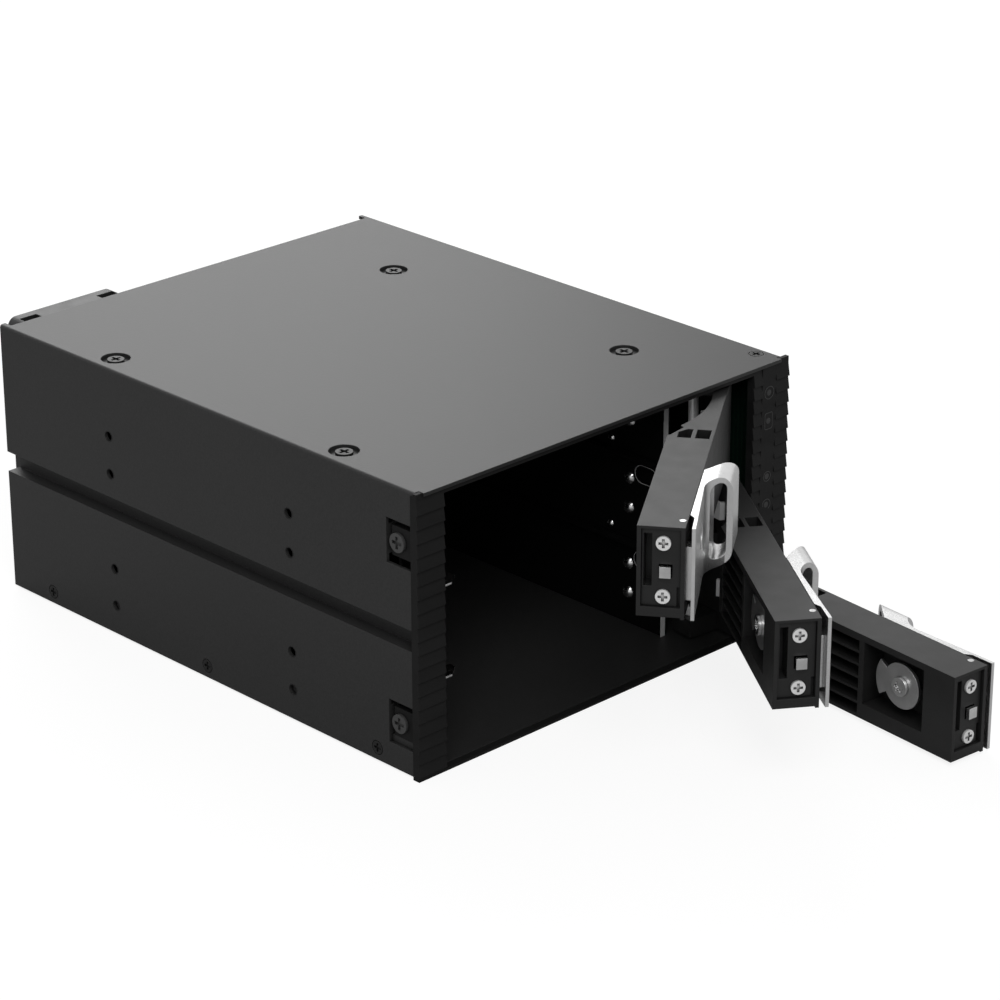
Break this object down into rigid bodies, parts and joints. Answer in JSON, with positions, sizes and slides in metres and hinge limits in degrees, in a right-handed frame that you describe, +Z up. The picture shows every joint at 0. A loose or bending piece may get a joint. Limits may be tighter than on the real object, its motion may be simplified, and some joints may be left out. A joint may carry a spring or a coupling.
{
  "type": "hot swap drive cage",
  "caption": "Black steel drive cage for two 5.25 inch bays, with stacked swing doors that take bare 3.5 inch drives, pull levers, key locks and rear fans.",
  "frame": {"origin": "centre of the cage's underside, doors left out", "axes": "+Z up, -Y out of the front, +X to the right seen from the front"},
  "size_m": [0.1481, 0.2869, 0.0855],
  "materials": {
    "painted_steel": "fine satin black powder coat",
    "inner_steel": "satin black",
    "bezel_plastic": "matt moulded black",
    "door_plastic": "satin moulded black",
    "bright_steel": "bright",
    "zinc_screw": "bright zinc",
    "silver_lever": "satin silver",
    "chrome_lock": "polished",
    "cam_zinc": "cast zinc",
    "black_screw": "black oxide",
    "circuit_board": "solder mask",
    "connector_black": "moulded",
    "connector_white": "moulded nylon",
    "fan_plastic": "moulded",
    "rotor_plastic": "moulded",
    "light_pipe": "smoked"
  },
  "bodies": {
    "cage": {"backplane": "circuit_board", "bezel_screws": "black_screw", "bottom_tray": "painted_steel", "corner_screw": "black_screw", "cover_screws": "black_screw", "data_ports": "connector_black", "drive_connectors": "connector_black", "fan_screws": "black_screw", "front_bezel": "bezel_plastic", "hinge_bracket": "inner_steel", "hinge_rod": "bright_steel", "indicator_board": "circuit_board", "left_guide": "inner_steel", "left_springs": "bright_steel", "light_pipes": "light_pipe", "lower_fan_frame": "fan_plastic", "outer_shell": "painted_steel", "power_ports": "connector_white", "rear_panel": "painted_steel", "right_guide": "inner_steel", "right_springs": "bright_steel", "strike_clips": "bright_steel", "tray_screws": "black_screw", "upper_fan_frame": "fan_plastic"},
    "upper_fan": {"upper_fan_rotor": "rotor_plastic"},
    "lower_fan": {"lower_fan_rotor": "rotor_plastic"},
    "door_bottom": {"bottom_door_body": "door_plastic", "bottom_end_plate": "door_plastic", "bottom_end_screws": "zinc_screw", "bottom_lever_pin": "bright_steel", "bottom_ejector_tab": "bright_steel"},
    "lever_bottom": {"bottom_lever": "silver_lever"},
    "lock_bottom": {"bottom_lock_cylinder": "chrome_lock", "bottom_lock_cam": "cam_zinc", "bottom_cam_nut": "chrome_lock"},
    "bolt_bottom": {"bottom_latch_bolt": "bright_steel"},
    "door_middle": {"middle_door_body": "door_plastic", "middle_end_plate": "door_plastic", "middle_end_screws": "zinc_screw", "middle_lever_pin": "bright_steel", "middle_ejector_tab": "bright_steel"},
    "lever_middle": {"middle_lever": "silver_lever"},
    "lock_middle": {"middle_lock_cylinder": "chrome_lock", "middle_lock_cam": "cam_zinc", "middle_cam_nut": "chrome_lock"},
    "bolt_middle": {"middle_latch_bolt": "bright_steel"},
    "door_top": {"top_door_body": "door_plastic", "top_end_plate": "door_plastic", "top_end_screws": "zinc_screw", "top_lever_pin": "bright_steel", "top_ejector_tab": "bright_steel"},
    "lever_top": {"top_lever": "silver_lever"},
    "lock_top": {"top_lock_cylinder": "chrome_lock", "top_lock_cam": "cam_zinc", "top_cam_nut": "chrome_lock"},
    "bolt_top": {"top_latch_bolt": "bright_steel"}
  },
  "joints": [
    {"name": "bottom_door_hinge", "type": "hinge", "parent": "cage", "child": "door_bottom", "pos_m": [0.0486, -0.0774, 0.0016], "axis": [0, 0, 1], "range_deg": [-85, 0]},
    {"name": "bottom_lever_hinge", "type": "hinge", "parent": "door_bottom", "child": "lever_bottom", "pos_m": [0.04906, -0.18234, 0.01455], "axis": [0, 0, 1], "range_deg": [-18, 0]},
    {"name": "bottom_lock_turn", "type": "hinge", "parent": "door_bottom", "child": "lock_bottom", "pos_m": [0.04589, -0.1658, 0.0166], "axis": [-0.9962, 0.0872, 0], "range_deg": [0, 90]},
    {"name": "bottom_bolt_slide", "type": "slide", "parent": "door_bottom", "child": "bolt_bottom", "axis": [-0.0872, -0.9962, 0], "range_m": [0, 0.0022]},
    {"name": "middle_door_hinge", "type": "hinge", "parent": "cage", "child": "door_middle", "pos_m": [0.0486, -0.0774, 0.0291], "axis": [0, 0, 1], "range_deg": [-55.4, 29.6]},
    {"name": "middle_lever_hinge", "type": "hinge", "parent": "door_middle", "child": "lever_middle", "pos_m": [-0.00284, -0.16887, 0.04205], "axis": [0, 0, 1], "range_deg": [-18, 0]},
    {"name": "middle_lock_turn", "type": "hinge", "parent": "door_middle", "child": "lock_middle", "pos_m": [0.00258, -0.15292, 0.0441], "axis": [-0.8231, 0.5678, 0], "range_deg": [0, 90]},
    {"name": "middle_bolt_slide", "type": "slide", "parent": "door_middle", "child": "bolt_middle", "axis": [-0.5678, -0.8231, 0], "range_m": [0, 0.0022]},
    {"name": "top_door_hinge", "type": "hinge", "parent": "cage", "child": "door_top", "pos_m": [0.0486, -0.0774, 0.0566], "axis": [0, 0, 1], "range_deg": [-36.1, 48.9]},
    {"name": "top_lever_hinge", "type": "hinge", "parent": "door_top", "child": "lever_top", "pos_m": [-0.03018, -0.14673, 0.06955], "axis": [0, 0, 1], "range_deg": [-18, 0]},
    {"name": "top_lock_turn", "type": "hinge", "parent": "door_top", "child": "lock_top", "pos_m": [-0.0198, -0.13347, 0.0716], "axis": [-0.5892, 0.808, 0], "range_deg": [0, 90]},
    {"name": "top_bolt_slide", "type": "slide", "parent": "door_top", "child": "bolt_top", "axis": [-0.808, -0.5892, 0], "range_m": [0, 0.0022]},
    {"name": "lower_fan_spin", "type": "hinge", "parent": "cage", "child": "lower_fan", "pos_m": [-0.0452, 0.0929, 0.0237], "axis": [0, 1, 0], "continuous": true},
    {"name": "upper_fan_spin", "type": "hinge", "parent": "cage", "child": "upper_fan", "pos_m": [-0.0452, 0.0929, 0.0637], "axis": [0, 1, 0], "continuous": true}
  ],
  "couplings": [
    {"joint": "bottom_bolt_slide", "follows": "bottom_lock_turn", "m_per_rad": 0.0014},
    {"joint": "middle_bolt_slide", "follows": "middle_lock_turn", "m_per_rad": 0.0014},
    {"joint": "top_bolt_slide", "follows": "top_lock_turn", "m_per_rad": 0.0014}
  ]
}
